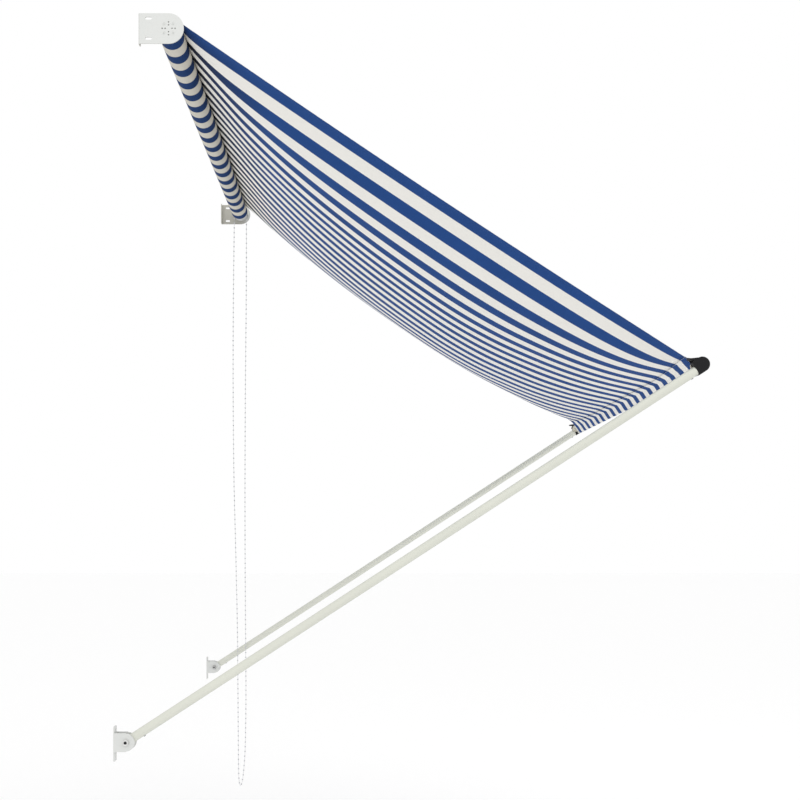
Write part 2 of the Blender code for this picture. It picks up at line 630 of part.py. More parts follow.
def canvas_line(x, steps=18):
    """The middle of the cloth at one x: (y, z) from the roller to the seam and around the front bar."""
    slack = slackness(x)
    tilt = EDGE_TILT + (MID_TILT - EDGE_TILT) * min(1.0, 6 * slack)
    around = ROLL_R + CLOTH / 2 + 3 * GAP
    start_y, start_z = ROLLER_Y - around * math.sin(tilt), around * math.cos(tilt)
    top_y, top_z = ROLLER_Y - around * math.sin(EDGE_TILT), around * math.cos(EDGE_TILT)
    front_y, front_z = seam_place(1.0)
    line = [(start_y, start_z)]
    for step in range(1, steps):
        t = (step / steps) ** 1.25
        y = start_y + (front_y - start_y) * t
        place = (y - top_y) / (front_y - top_y)
        line.append((y, top_z + (front_z - top_z) * place - hang(slack, place)))
    lift = 1 - min(1.0, slack * 1.3)
    under, face = CAP_V - POCKET_R, BAR_FLAT_U - 0.0018
    line.append(seam_place(lift))
    line += [on_arm(CAP_U + POCKET_R * math.cos(a), CAP_V + POCKET_R * math.sin(a))
             for a in (math.radians(80 - 17 * i) for i in range(11))]
    line += [on_arm(face + 0.0048, under), on_arm(face + 0.0010, under + 0.0015),
             on_arm(face, under + 0.0050), on_arm(face, CAP_V + 0.0075)]
    line.append(on_arm(face - 0.0042 + 0.0030 * lift, CAP_V + 0.0130 + 0.0080 * lift))
    return line


def canvas(stations=14):
    bm = bmesh.new()
    rings = []
    for i in range(stations):
        share = 0.5 - 0.5 * math.cos(math.pi * i / (stations - 1))
        x = CANVAS_LEFT + CANVAS_WIDTH * (0.35 * i / (stations - 1) + 0.65 * share)
        line = [Vector(p) for p in canvas_line(x)]
        above, below = [], []
        for k, point in enumerate(line):
            run = (line[min(k + 1, len(line) - 1)] - line[max(k - 1, 0)]).normalized()
            across = Vector((run.y, -run.x)) * CLOTH / 2
            above.append(point + across)
            below.append(point - across)
        rings.append([bm.verts.new((x, *p)) for p in above + below[::-1]])
    count = len(rings[0])
    half = count // 2
    for one, two in zip(rings, rings[1:]):
        for k in range(count):
            a, b, c, d = one[k - 1], one[k], two[k], two[k - 1]
            # the cloth's two faces are split along the same diagonal, so they stay a cloth's thickness apart
            for corners in ((a, b, d), (b, c, d)) if k > half else ((a, b, c), (a, c, d)):
                bm.faces.new(corners)
    for ring in (rings[0], rings[-1]):
        for k in range(half - 1):
            bm.faces.new([ring[k], ring[k + 1], ring[count - 2 - k], ring[count - 1 - k]])
    add_object("canvas", bm, CLOTH_BLUE, 0.9)


def build():
    clear_scene()
    roller_brackets()
    holder_screws()
    idler_holder()
    idler_plug()
    roller_tube()
    keder_strip()
    canvas_roll()
    clutch_core()
    clutch_drum()
    wrap_spring()
    chain_sprocket()
    chain_guard()
    bead_chain()
    pivot = swing_empty()
    for side, x, inward in (("left", LEFT_ARM_X, 1), ("right", RIGHT_ARM_X, -1)):
        foot_bracket(side, x)
        pivot_bolt(side, x, -inward)
        arm_tube(side, x, pivot)
        foot_plug(side, x, pivot)
        arm_screw(side + "_foot_screw", x, FOOT_SCREW_U, pivot)
        arm_screw(side + "_cap_screw", x, CAP_SCREW_U, pivot)
        bar_plug(side, x, inward, pivot)
        front_cap(side, x, pivot)
    front_bar(pivot)
    canvas()


build()
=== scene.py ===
import bpy
import bmesh
import json
import math
from mathutils import Matrix, Vector, noise


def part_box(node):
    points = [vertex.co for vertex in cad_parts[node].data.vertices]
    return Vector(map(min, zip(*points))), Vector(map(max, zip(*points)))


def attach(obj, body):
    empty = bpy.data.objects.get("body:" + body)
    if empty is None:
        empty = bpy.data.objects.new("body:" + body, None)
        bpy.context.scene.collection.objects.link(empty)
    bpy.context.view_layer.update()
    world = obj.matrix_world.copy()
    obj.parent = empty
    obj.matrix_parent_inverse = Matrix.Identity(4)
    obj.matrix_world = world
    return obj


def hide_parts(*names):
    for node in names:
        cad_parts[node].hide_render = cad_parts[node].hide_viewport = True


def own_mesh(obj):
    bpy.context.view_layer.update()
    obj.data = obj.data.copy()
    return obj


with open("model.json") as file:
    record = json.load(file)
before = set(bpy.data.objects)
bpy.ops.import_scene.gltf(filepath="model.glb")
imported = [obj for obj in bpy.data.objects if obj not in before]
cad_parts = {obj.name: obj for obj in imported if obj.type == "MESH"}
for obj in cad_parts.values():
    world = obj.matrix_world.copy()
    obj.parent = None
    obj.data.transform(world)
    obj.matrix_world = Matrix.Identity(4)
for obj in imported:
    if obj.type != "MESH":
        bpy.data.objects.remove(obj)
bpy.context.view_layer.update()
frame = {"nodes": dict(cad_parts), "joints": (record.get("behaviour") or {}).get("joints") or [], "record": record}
nodes = frame["nodes"]
print("frame loaded,", len(nodes), "nodes")

# where things are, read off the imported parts
rollLow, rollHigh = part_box("canvas_roll")
rollAxis = (rollLow + rollHigh) / 2
rollRadius = (rollHigh.z - rollLow.z) / 2
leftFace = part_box("left_roller_bracket")[0].x
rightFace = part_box("right_roller_bracket")[1].x
swing = next(j for j in frame["joints"] if j["name"] == "arm_swing")
pivot = Vector(swing["pos_m"])
sprocketX = sum(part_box("chain_sprocket")[i].x for i in (0, 1)) / 2
armRise = math.radians(33.1)


def onArm(u, v):
    # a place given along and above the arms' line, as (y, z)
    y = pivot.y - u * math.cos(armRise) + v * math.sin(armRise)
    z = pivot.z + u * math.sin(armRise) + v * math.cos(armRise)
    return y, z


# ---- camera, light and floor

view = {"distance": 2.60, "lens": 53.7, "y": -0.4961, "z": -1.1105, "shiftX": 0.0425, "shiftY": 0.1725}


def makeCamera():
    bpy.ops.object.camera_add(location=(leftFace - view["distance"], view["y"], view["z"]),
                              rotation=(math.radians(90), 0, math.radians(-90)))
    cam = bpy.context.object
    cam.data.sensor_width = 36
    cam.data.lens = view["lens"]
    cam.data.shift_x = view["shiftX"]
    cam.data.shift_y = view["shiftY"]
    cam.data.clip_start = 0.05
    bpy.context.scene.camera = cam


light = {"sky": (1.0, 1.0, 1.0), "skyPower": 1.0,
         "key": (-1.4, -1.6, 2.4), "keySize": 2.4, "keyPower": 20,
         "fill": (-2.6, 0.6, -0.4), "fillSize": 1.6, "fillPower": 5}


def makeLight():
    world = bpy.data.worlds.new("studio")
    bpy.context.scene.world = world
    world.use_nodes = True
    back = world.node_tree.nodes["Background"]
    back.inputs["Color"].default_value = (*light["sky"], 1)
    back.inputs["Strength"].default_value = light["skyPower"]
    middle = Vector(((leftFace + rightFace) / 2, -0.6, -0.6))
    for name in ("key", "fill"):
        bpy.ops.object.light_add(type="AREA", location=light[name])
        lamp = bpy.context.object
        lamp.data.size = light[name + "Size"]
        lamp.data.energy = light[name + "Power"]
        lamp.rotation_euler = (middle - lamp.location).to_track_quat("-Z", "Y").to_euler()


floor = {"z": -2.25, "size": 70, "colour": (0.985, 0.985, 0.985), "roughness": 0.9}


def makeFloor():
    bpy.ops.mesh.primitive_plane_add(size=floor["size"], location=(0.7, -0.6, floor["z"]))
    plane = bpy.context.object
    plane.name = "floor"
    mat = bpy.data.materials.new("floor")
    mat.use_nodes = True
    shader = mat.node_tree.nodes["Principled BSDF"]
    shader.inputs["Base Color"].default_value = (*floor["colour"], 1)
    shader.inputs["Roughness"].default_value = floor["roughness"]
    shader.inputs["Specular IOR Level"].default_value = 0.1
    plane.data.materials.append(mat)


bpy.context.scene.view_settings.view_transform = "Standard"
bpy.context.scene.view_settings.look = "None"
makeCamera()
makeLight()
makeFloor()
print("camera, light and floor set")


# ---- shared helpers

def deselectAll():
    for obj in bpy.context.selected_objects:
        obj.select_set(False)


def pickOnly(obj):
    deselectAll()
    obj.select_set(True)
    bpy.context.view_layer.objects.active = obj


def settle(obj, name):
    # the finished piece's place goes into its mesh
    pickOnly(obj)
    bpy.ops.object.transform_apply(location=True, rotation=True, scale=True)
    obj.name = name
    obj.data.name = name
    return obj


def applyModifiers(obj):
    pickOnly(obj)
    for mod in list(obj.modifiers):
        bpy.ops.object.modifier_apply(modifier=mod.name)


def putOn(obj, mat):
    obj.data.materials.clear()
    obj.data.materials.append(mat)


# ---- shader helpers

def newGroup(name, ins, outs):
    group = bpy.data.node_groups.new(name, "ShaderNodeTree")
    for label, kind, value in ins:
        socket = group.interface.new_socket(name=label, in_out="INPUT", socket_type=kind)
        if value is not None:
            socket.default_value = value
    for label, kind in outs:
        group.interface.new_socket(name=label, in_out="OUTPUT", socket_type=kind)
    start = group.nodes.new("NodeGroupInput")
    end = group.nodes.new("NodeGroupOutput")
    return group, start, end


def calc(tree, operation, a, b=None, c=None, clamp=False):
    node = tree.nodes.new("ShaderNodeMath")
    node.operation = operation
    node.use_clamp = clamp
    for socket, value in zip(node.inputs, (a, b, c)):
        if value is None:
            continue
        if isinstance(value, (int, float)):
            socket.default_value = value
        else:
            tree.links.new(value, socket)
    return node.outputs[0]


def mixColour(tree, share, one, two):
    node = tree.nodes.new("ShaderNodeMix")
    node.data_type = "RGBA"
    for socket, value in ((node.inputs[0], share), (node.inputs[6], one), (node.inputs[7], two)):
        if isinstance(value, (int, float)):
            socket.default_value = value
        elif isinstance(value, tuple):
            socket.default_value = (*value, 1)
        else:
            tree.links.new(value, socket)
    return node.outputs[2]


def newMaterial(name, roughness, metallic=0.0):
    mat = bpy.data.materials.new(name)
    mat.use_nodes = True
    shader = mat.node_tree.nodes["Principled BSDF"]
    shader.inputs["Roughness"].default_value = roughness
    shader.inputs["Metallic"].default_value = metallic
    return mat, mat.node_tree, shader


def addNode(tree, kind, **values):
    node = tree.nodes.new(kind)
    for label, value in values.items():
        node.inputs[label.replace("_", " ")].default_value = value
    return node


def coatGrain():
    # fine orange peel and faint patches of a powder coat
    group, start, end = newGroup("powder coat grain",
                                 [("Scale", "NodeSocketFloat", 900.0), ("Patches", "NodeSocketFloat", 6.0)],
                                 [("Height", "NodeSocketFloat"), ("Tone", "NodeSocketFloat")])
    place = group.nodes.new("ShaderNodeTexCoord")
    fine = addNode(group, "ShaderNodeTexNoise", Detail=2.0)
    broad = addNode(group, "ShaderNodeTexNoise", Detail=3.0)
    for tex, label in ((fine, "Scale"), (broad, "Patches")):
        group.links.new(place.outputs["Object"], tex.inputs["Vector"])
        group.links.new(start.outputs[label], tex.inputs["Scale"])
    group.links.new(fine.outputs["Fac"], end.inputs["Height"])
    group.links.new(broad.outputs["Fac"], end.inputs["Tone"])
    return group


grainGroup = coatGrain()


def coated(name, colour, darker, roughness=0.42, metallic=0.0, bump=0.25, scale=900.0, patches=6.0, shine=0.5,
           rimShade=0.0):
    mat, tree, shader = newMaterial(name, roughness, metallic)
    grain = tree.nodes.new("ShaderNodeGroup")
    grain.node_tree = grainGroup
    grain.inputs["Scale"].default_value = scale
    grain.inputs["Patches"].default_value = patches
    tone = mixColour(tree, grain.outputs["Tone"], darker, colour)
    # painted shade: the colour darkens towards the outline, where the surface turns from view
    if rimShade:
        facing = addNode(tree, "ShaderNodeLayerWeight", Blend=0.5).outputs["Facing"]
        edge = calc(tree, "MULTIPLY", calc(tree, "POWER", facing, 3.0), rimShade)
        tone = mixColour(tree, edge, tone, tuple(c * 0.4 for c in darker))
    tree.links.new(tone, shader.inputs["Base Color"])
    shader.inputs["Specular IOR Level"].default_value = shine
    rough = calc(tree, "MULTIPLY_ADD", grain.outputs["Tone"], 0.12, roughness - 0.06)
    tree.links.new(rough, shader.inputs["Roughness"])
    relief = addNode(tree, "ShaderNodeBump", Strength=bump, Distance=0.00006)
    tree.links.new(grain.outputs["Height"], relief.inputs["Height"])
    tree.links.new(relief.outputs["Normal"], shader.inputs["Normal"])
    return mat


whitePaint = coated("white powder coat", (0.70, 0.71, 0.69), (0.64, 0.65, 0.63))
# the arms' coat carries painted shade along its outline
ivoryPaint = coated("ivory powder coat", (0.69, 0.70, 0.62), (0.63, 0.64, 0.57), rimShade=0.45)
greyPlastic = coated("grey moulding", (0.66, 0.66, 0.66), (0.60, 0.60, 0.60), 0.5)
blackPlastic = coated("black moulding", (0.011, 0.011, 0.012), (0.006, 0.006, 0.007), 0.65, bump=0.5, scale=500,
                      shine=0.22)
tanPlastic = coated("tan moulding", (0.62, 0.58, 0.47), (0.55, 0.51, 0.41), 0.5)
zincSteel = coated("zinc plate", (0.50, 0.50, 0.49), (0.38, 0.39, 0.40), 0.36, 1.0)
tubeMetal = coated("mill aluminium", (0.62, 0.62, 0.62), (0.52, 0.52, 0.53), 0.35, 1.0)
chainPlastic = coated("chain beads", (0.60, 0.61, 0.62), (0.52, 0.53, 0.55), 0.3, bump=0.1)


def bracketShadePaint():
    # the same coat, with painted shade on the faces between the brackets, less so at the nose
    mat = coated("white powder coat, brackets", (0.70, 0.71, 0.69), (0.64, 0.65, 0.63))
    tree = mat.node_tree
    shader = tree.nodes["Principled BSDF"]
    clean = shader.inputs["Base Color"].links[0].from_socket
    place = tree.nodes.new("ShaderNodeTexCoord")
    split = tree.nodes.new("ShaderNodeSeparateXYZ")
    tree.links.new(place.outputs["Object"], split.inputs[0])
    fromLeft = calc(tree, "GREATER_THAN", split.outputs["X"], leftFace + 0.0012)
    fromRight = calc(tree, "LESS_THAN", split.outputs["X"], rightFace - 0.0012)
    shadedFaces = calc(tree, "MULTIPLY", fromLeft, fromRight)
    back = calc(tree, "MULTIPLY_ADD", split.outputs["Y"], 30.0, 2.9, clamp=True)
    shadeAmount = calc(tree, "MULTIPLY", shadedFaces, calc(tree, "MULTIPLY_ADD", back, 0.75, 0.25))
    # painted shade: a dull grey-brown laid over the coat
    tree.links.new(mixColour(tree, shadeAmount, clean, (0.45, 0.44, 0.39)), shader.inputs["Base Color"])
    return mat


def boltSteel():
    # bright plating, with painted shade for the socket in the middle of the head
    mat = coated("bright plate", (0.74, 0.74, 0.72), (0.66, 0.66, 0.65), 0.42, 1.0)
    tree = mat.node_tree
    shader = tree.nodes["Principled BSDF"]
    plate = shader.inputs["Base Color"].links[0].from_socket
    place = tree.nodes.new("ShaderNodeTexCoord")
    split = tree.nodes.new("ShaderNodeSeparateXYZ")
    tree.links.new(place.outputs["Object"], split.inputs[0])
    across = calc(tree, "SUBTRACT", split.outputs["Y"], pivot.y)
    above = calc(tree, "SUBTRACT", split.outputs["Z"], pivot.z)
    away = calc(tree, "SQRT", calc(tree, "ADD", calc(tree, "MULTIPLY", across, across),
                                   calc(tree, "MULTIPLY", above, above)))
    # painted shade: a near-black disc stands in for the socket's hollow
    socket = calc(tree, "LESS_THAN", away, 0.0031)
    tree.links.new(mixColour(tree, socket, plate, (0.05, 0.05, 0.05)), shader.inputs["Base Color"])
    return mat


bracketShadedCoat = bracketShadePaint()
boltPlate = boltSteel()
print("finishes ready")


# ---- striped canvas: u across its width and v along it, both in metres of cloth

# the near-black colour is painted shade for the blue where the cloth leaves the roller, and the two roll colours
# are darker copies of the blue and the white, painted shade for the canvas on the roller
canvas = {"left": rollLow.x, "right": rollHigh.x, "stripes": 37, "threadsPerMetre": 2400.0, "cloth": 0.0006,
          "acrossSteps": 222, "alongSteps": 96, "wrapSteps": 6, "flap": 0.0040,
          "blue": (0.014, 0.058, 0.212), "white": (0.81, 0.795, 0.755), "shadeNearRoll": (0.001, 0.002, 0.010),
          "rollShadedBlue": (0.006, 0.033, 0.125), "rollShadedWhite": (0.60, 0.575, 0.51)}


def weaveGroup():
    # stripe mask, weave height, slubs and slow fading, all from the cloth's own u and v
    group, start, end = newGroup("awning weave", [("Cloth", "NodeSocketVector", None)],
                                 [("Blue", "NodeSocketFloat"), ("Height", "NodeSocketFloat"),
                                  ("Slub", "NodeSocketFloat"), ("Fade", "NodeSocketFloat")])
    cloth = start.outputs["Cloth"]
    split = group.nodes.new("ShaderNodeSeparateXYZ")
    group.links.new(cloth, split.inputs[0])
    wobble = addNode(group, "ShaderNodeTexNoise", Scale=90.0, Detail=2.0)
    slub = addNode(group, "ShaderNodeTexNoise", Scale=260.0, Detail=3.0)
    fade = addNode(group, "ShaderNodeTexNoise", Scale=7.0, Detail=4.0)
    for tex in (wobble, slub, fade):
        group.links.new(cloth, tex.inputs["Vector"])
    shifted = calc(group, "MULTIPLY_ADD", wobble.outputs["Fac"], 0.0008, split.outputs["X"])
    within = calc(group, "FRACT", calc(group, "MULTIPLY", shifted,
                                       canvas["stripes"] / (canvas["right"] - canvas["left"]) / 2))
    fall = calc(group, "MULTIPLY_ADD", within, -60.0, 30.5, clamp=True)
    rise = calc(group, "MULTIPLY", within, 120.0, clamp=True)
    group.links.new(calc(group, "MULTIPLY", rise, fall), end.inputs["Blue"])
    warp = calc(group, "SINE", calc(group, "MULTIPLY", split.outputs["X"], canvas["threadsPerMetre"] * math.pi))
    weft = calc(group, "SINE", calc(group, "MULTIPLY", split.outputs["Y"], canvas["threadsPerMetre"] * math.pi))
    weave = calc(group, "MULTIPLY", warp, weft)
    group.links.new(calc(group, "MULTIPLY_ADD", slub.outputs["Fac"], 0.5, weave), end.inputs["Height"])
    group.links.new(slub.outputs["Fac"], end.inputs["Slub"])
    group.links.new(fade.outputs["Fac"], end.inputs["Fade"])
    return group


weave = weaveGroup()


def clothMaterial(name, blue, white, stitched=False, shaded=False):
    mat, tree, shader = newMaterial(name, 0.88)
    uv = tree.nodes.new("ShaderNodeUVMap")
    uv.uv_map = "cloth"
    cloth = tree.nodes.new("ShaderNodeGroup")
    cloth.node_tree = weave
    tree.links.new(uv.outputs["UV"], cloth.inputs["Cloth"])
    split = tree.nodes.new("ShaderNodeSeparateXYZ")
    tree.links.new(uv.outputs["UV"], split.inputs[0])
    across, along = split.outputs["X"], split.outputs["Y"]
    dyed = mixColour(tree, cloth.outputs["Fade"], tuple(c * 0.86 for c in blue), tuple(c * 1.16 for c in blue))
    plain = mixColour(tree, cloth.outputs["Slub"], tuple(c * 0.94 for c in white), white)
    if shaded:
        # painted shade: the blue is darkened where the cloth leaves the roller, as little light reaches it there,
        # least of all past the side edge
        away = calc(tree, "MULTIPLY_ADD", along, -4.2, 1.15, clamp=True)
        inside = calc(tree, "MULTIPLY", across, 14.0, clamp=True)
        dyed = mixColour(tree, calc(tree, "MULTIPLY", away, inside), dyed, canvas["shadeNearRoll"])
    colour = mixColour(tree, cloth.outputs["Blue"], plain, dyed)
    height = cloth.outputs["Height"]
    if stitched:
        # one row of lock stitches near the flap's end, where v is 0
        off = calc(tree, "ABSOLUTE", calc(tree, "SUBTRACT", along, 0.0020))
        row = calc(tree, "LESS_THAN", off, 0.0005)
        dash = calc(tree, "LESS_THAN", calc(tree, "FRACT", calc(tree, "MULTIPLY", across, 290.0)), 0.62)
        thread = calc(tree, "MULTIPLY", row, dash)
        colour = mixColour(tree, thread, colour, (0.56, 0.58, 0.64))
        height = calc(tree, "MULTIPLY_ADD", thread, 3.0, height)
    tree.links.new(colour, shader.inputs["Base Color"])
    shader.inputs["Sheen Weight"].default_value = 0.02
    shader.inputs["Sheen Roughness"].default_value = 0.5
    shader.inputs["Specular IOR Level"].default_value = 0.1
    relief = addNode(tree, "ShaderNodeBump", Strength=0.35, Distance=0.00015)
    tree.links.new(height, relief.inputs["Height"])
    tree.links.new(relief.outputs["Normal"], shader.inputs["Normal"])
    return mat


# the span's blue carries painted shade by the roller
spanCloth = clothMaterial("striped canvas", canvas["blue"], canvas["white"], shaded=True)
pocketCloth = clothMaterial("striped canvas, sewn pocket", canvas["blue"], canvas["white"], stitched=True)
# painted shade: the canvas on the roller takes the darker copies of the blue and the white
rollShadedCloth = clothMaterial("striped canvas, on the roller", canvas["rollShadedBlue"], canvas["rollShadedWhite"])

# how far the middle would hang under the taut side edges, from the roller (0) to the seam (1)
sagCurve = [(0.0, 0.0), (0.05, 0.025), (0.12, 0.063), (0.27, 0.127), (0.41, 0.169), (0.55, 0.186), (0.64, 0.170),
            (0.76, 0.120), (0.89, 0.063), (1.0, 0.011)]
hold = {"edge": 0.195, "edgeSag": 0.008, "edgeTilt": math.radians(35.0), "midTilt": math.radians(53.0)}
bar = {"u": 1.4941, "v": 0.0046, "radius": 0.015, "flat": 1.4841, "pocket": 0.0168}
seam = {"edge": (-0.0140, 0.0346), "middle": (-0.0185, 0.0222)}


def smoothThrough(points, at):
    for i in range(len(points) - 1):
        (x0, y0), (x1, y1) = points[i], points[i + 1]
        if at <= x1:
            before = points[max(i - 1, 0)]
            after = points[min(i + 2, len(points) - 1)]
            slope0 = (y1 - before[1]) / (x1 - before[0])
            slope1 = (after[1] - y0) / (after[0] - x0)
            t, step = (at - x0) / (x1 - x0), x1 - x0
            return ((2 * t**3 - 3 * t**2 + 1) * y0 + (t**3 - 2 * t**2 + t) * slope0 * step
                    + (3 * t**2 - 2 * t**3) * y1 + (t**3 - t**2) * slope1 * step)
    return points[-1][1]


def slackness(x):
    left = math.tanh(max(0.0, x - canvas["left"]) / 0.26) ** 1.35
    right = math.tanh(max(0.0, canvas["right"] - x) / 0.28) ** 1.1
    return left * right


def hang(slack, place):
    held, free = hold["edge"] * slack, smoothThrough(sagCurve, place)
    drop = held * free / max(math.hypot(held, free), 1e-9)
    return drop + hold["edgeSag"] * math.sin(math.pi * min(max(place, 0.0), 1.0))


def seamPlace(lift):
    along, above = (m + (e - m) * lift for m, e in zip(seam["middle"], seam["edge"]))
    return onArm(bar["u"] + along, above)


def seamLift(x):
    return 1 - min(1.0, slackness(x) * 1.3)


def spanLine(x):
    # the middle of the cloth at one x, as (y, z), from under the roll's top to the seam
    slack = slackness(x)
    tilt = hold["edgeTilt"] + (hold["midTilt"] - hold["edgeTilt"]) * min(1.0, 6 * slack)
    around = rollRadius + 0.0009
    line = []
    for step in range(canvas["wrapSteps"], 0, -1):
        back = tilt - math.radians(7 * step)
        line.append((rollAxis.y - around * math.sin(back), around * math.cos(back)))
    startY, startZ = rollAxis.y - around * math.sin(tilt), around * math.cos(tilt)
    topY = rollAxis.y - around * math.sin(hold["edgeTilt"])
    topZ = around * math.cos(hold["edgeTilt"])
    frontY, frontZ = seamPlace(1.0)
    line.append((startY, startZ))
    meetY, meetZ = seamPlace(seamLift(x))
    atSeam = (meetY - topY) / (frontY - topY)
    rise = meetZ - (topZ + (frontZ - topZ) * atSeam - hang(slack, min(atSeam, 1.0)))
    for step in range(1, canvas["alongSteps"]):
        t = (step / canvas["alongSteps"]) ** 1.25
        y = startY + (meetY - startY) * t
        place = (y - topY) / (frontY - topY)
        ease = max(0.0, (place - 0.70) / 0.30) ** 2
        line.append((y, topZ + (frontZ - topZ) * place - hang(slack, place) + rise * min(1.0, ease)))
    line.append((meetY, meetZ))
    return line


def pocketLine(x):
    # from the flap over the seam, round the bar, up its flat side and under the seam again
    end = spanLine(x)[-3:]
    run = Vector(end[-1]) - Vector(end[0])
    run.normalize()
    across = Vector((run.y, -run.x))
    if across.y < 0:
        across = -across
    meet = Vector(end[-1])
    lift = seamLift(x)
    cloth, face, low = 0.0008, bar["flat"] - 0.0018, bar["v"] - bar["pocket"]
    line = [tuple(meet - run * canvas["flap"] + across * cloth), tuple(meet - run * 0.003 + across * cloth),
            tuple(meet + run * 0.001 + across * cloth)]
    for i in range(18):
        turn = math.radians(80 - 10 * i)
        line.append(onArm(bar["u"] + bar["pocket"] * math.cos(turn), bar["v"] + bar["pocket"] * math.sin(turn)))
    line += [onArm(face + 0.0048, low), onArm(face + 0.0022, low + 0.0005), onArm(face + 0.0006, low + 0.0020),
             onArm(face, low + 0.0050), onArm(face, low + 0.0120), onArm(face, bar["v"] + 0.0040),
             onArm(face - 0.0006, bar["v"] + 0.0090 + 0.0010 * lift)]
    under = meet - across * cloth
    last = Vector(line[-1])
    for share in (0.35, 0.7):
        bulge = math.sin(math.pi * share) * 0.0012
        line.append(tuple(last.lerp(under, share) - run * bulge))
    line += [tuple(under), tuple(under - run * 0.0022), tuple(under - run * 0.0048),
             tuple(under - run * canvas["flap"])]
    return line


def clothSheet(name, lineAt, mat, fromEnd):
    # a grid laid along one line of cloth per station, with its u and v in metres
    across, width = canvas["acrossSteps"], canvas["right"] - canvas["left"]
    stations = [canvas["left"] + width * i / across for i in range(across + 1)]
    columns = [lineAt(x) for x in stations]
    rows = len(columns[0])
    bpy.ops.mesh.primitive_grid_add(x_subdivisions=across, y_subdivisions=rows - 1, size=1)
    obj = bpy.context.object
    mesh = obj.data
    runs = []
    for column in columns:
        run = [0.0]
        for (y0, z0), (y1, z1) in zip(column, column[1:]):
            run.append(run[-1] + math.hypot(y1 - y0, z1 - z0))
        runs.append([run[-1] - r for r in run] if fromEnd else run)
    grid = [(round((v.co.x + 0.5) * across), round((v.co.y + 0.5) * (rows - 1))) for v in mesh.vertices]
    for vert, (i, j) in zip(mesh.vertices, grid):
        vert.co = (stations[i], *columns[i][j])
    layer = mesh.uv_layers[0]
    layer.name = "cloth"
    for loop in mesh.loops:
        i, j = grid[loop.vertex_index]
        layer.data[loop.index].uv = (width * i / across, runs[i][j])
    return obj, grid


def ripple(mesh, grid):
    # soft waves that die out towards the roller, the seam and the side edges, and a crease by the seam
    first = canvas["wrapSteps"]
    for vert, (i, j) in zip(mesh.vertices, grid):
        t = (j - first) / canvas["alongSteps"]
        if not 0 < t < 1:
            continue
        calm = min(1.0, 9 * t) * min(1.0, 7 * (1 - t)) * slackness(vert.co.x)
        wave = noise.noise(Vector((vert.co.x * 3.2, t * 2.2, 0.4))) * 0.004
        wave += noise.noise(Vector((vert.co.x * 9.0, t * 3.0, 3.1))) * 0.0016
        crease = math.exp(-((vert.co.x - 0.803) / 0.015) ** 2) * math.exp(-((t - 0.955) / 0.03) ** 2)
        vert.co.z += wave * calm - 0.004 * crease


def finishCloth(obj, name, mat):
    pickOnly(obj)
    bpy.ops.object.mode_set(mode="EDIT")
    bpy.ops.mesh.select_all(action="SELECT")
    bpy.ops.mesh.normals_make_consistent(inside=False)
    bpy.ops.object.mode_set(mode="OBJECT")
    bpy.ops.object.shade_smooth()
    thick = obj.modifiers.new("cloth thickness", "SOLIDIFY")
    thick.thickness = canvas["cloth"]
    thick.offset = 0
    applyModifiers(obj)
    settle(obj, name)
    putOn(obj, mat)
    return obj


span, spanGrid = clothSheet("canvas_span", spanLine, spanCloth, False)
ripple(span.data, spanGrid)
finishCloth(span, "canvas_span", spanCloth)
pocket, pocketGrid = clothSheet("canvas_pocket", pocketLine, pocketCloth, True)
finishCloth(pocket, "canvas_pocket", pocketCloth)
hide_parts("canvas")
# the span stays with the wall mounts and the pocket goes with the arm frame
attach(span, "wall_mounts")
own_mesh(span)
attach(pocket, "arm_frame")


# ---- canvas left on the roller

roll = {"sides": 72, "lengthCuts": 147, "waver": 0.0003, "inner": 0.0253}


def selectEdges(mesh, test):
    bpy.ops.mesh.select_all(action="DESELECT")
    bm = bmesh.from_edit_mesh(mesh)
    for edge in bm.edges:
        edge.select = test(edge)
    bmesh.update_edit_mesh(mesh)


def makeRoll():
    length = canvas["right"] - canvas["left"]
    bpy.ops.mesh.primitive_cylinder_add(vertices=roll["sides"], radius=rollRadius, depth=length,
                                        end_fill_type="NOTHING",
                                        location=(canvas["left"] + length / 2, rollAxis.y, 0),
                                        rotation=(0, math.radians(90), 0))
    turns = settle(bpy.context.object, "canvas_turns")
    mesh = turns.data
    bpy.ops.object.mode_set(mode="EDIT")
    bpy.ops.mesh.select_mode(type="EDGE")
    selectEdges(mesh, lambda e: abs(e.verts[0].co.x - e.verts[1].co.x) > length / 2)
    bpy.ops.mesh.subdivide(number_cuts=roll["lengthCuts"])
    bpy.ops.mesh.select_mode(type="VERT")
    bpy.ops.object.mode_set(mode="OBJECT")
    print("roll has", len(mesh.polygons), "faces round", roll["sides"], "sides")
    wall = turns.modifiers.new("turns", "SOLIDIFY")
    wall.thickness = rollRadius - roll["inner"]
    wall.offset = -1
    applyModifiers(turns)
    layer = mesh.uv_layers[0] if mesh.uv_layers else mesh.uv_layers.new()
    layer.name = "cloth"
    for loop in mesh.loops:
        co = mesh.vertices[loop.vertex_index].co
        turn = math.atan2(co.z, co.y - rollAxis.y)
        layer.data[loop.index].uv = (co.x - canvas["left"], turn * rollRadius)
    for vert in mesh.vertices:
        reach = Vector((0, vert.co.y - rollAxis.y, vert.co.z))
        if reach.length > rollRadius - 0.0005:
            angle = math.atan2(vert.co.z, vert.co.y - rollAxis.y)
            waver = noise.noise(Vector((vert.co.x * 14, math.cos(angle) * 1.5, math.sin(angle) * 1.5)))
            vert.co -= reach.normalized() * roll["waver"] * (0.5 + waver)
    pickOnly(turns)
    bpy.ops.object.shade_smooth_by_angle(angle=math.radians(40))
    putOn(turns, rollShadedCloth)
    return turns


turns = makeRoll()
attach(turns, "roller")
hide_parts("canvas_roll")
print("roll made")


# ---- bead chain

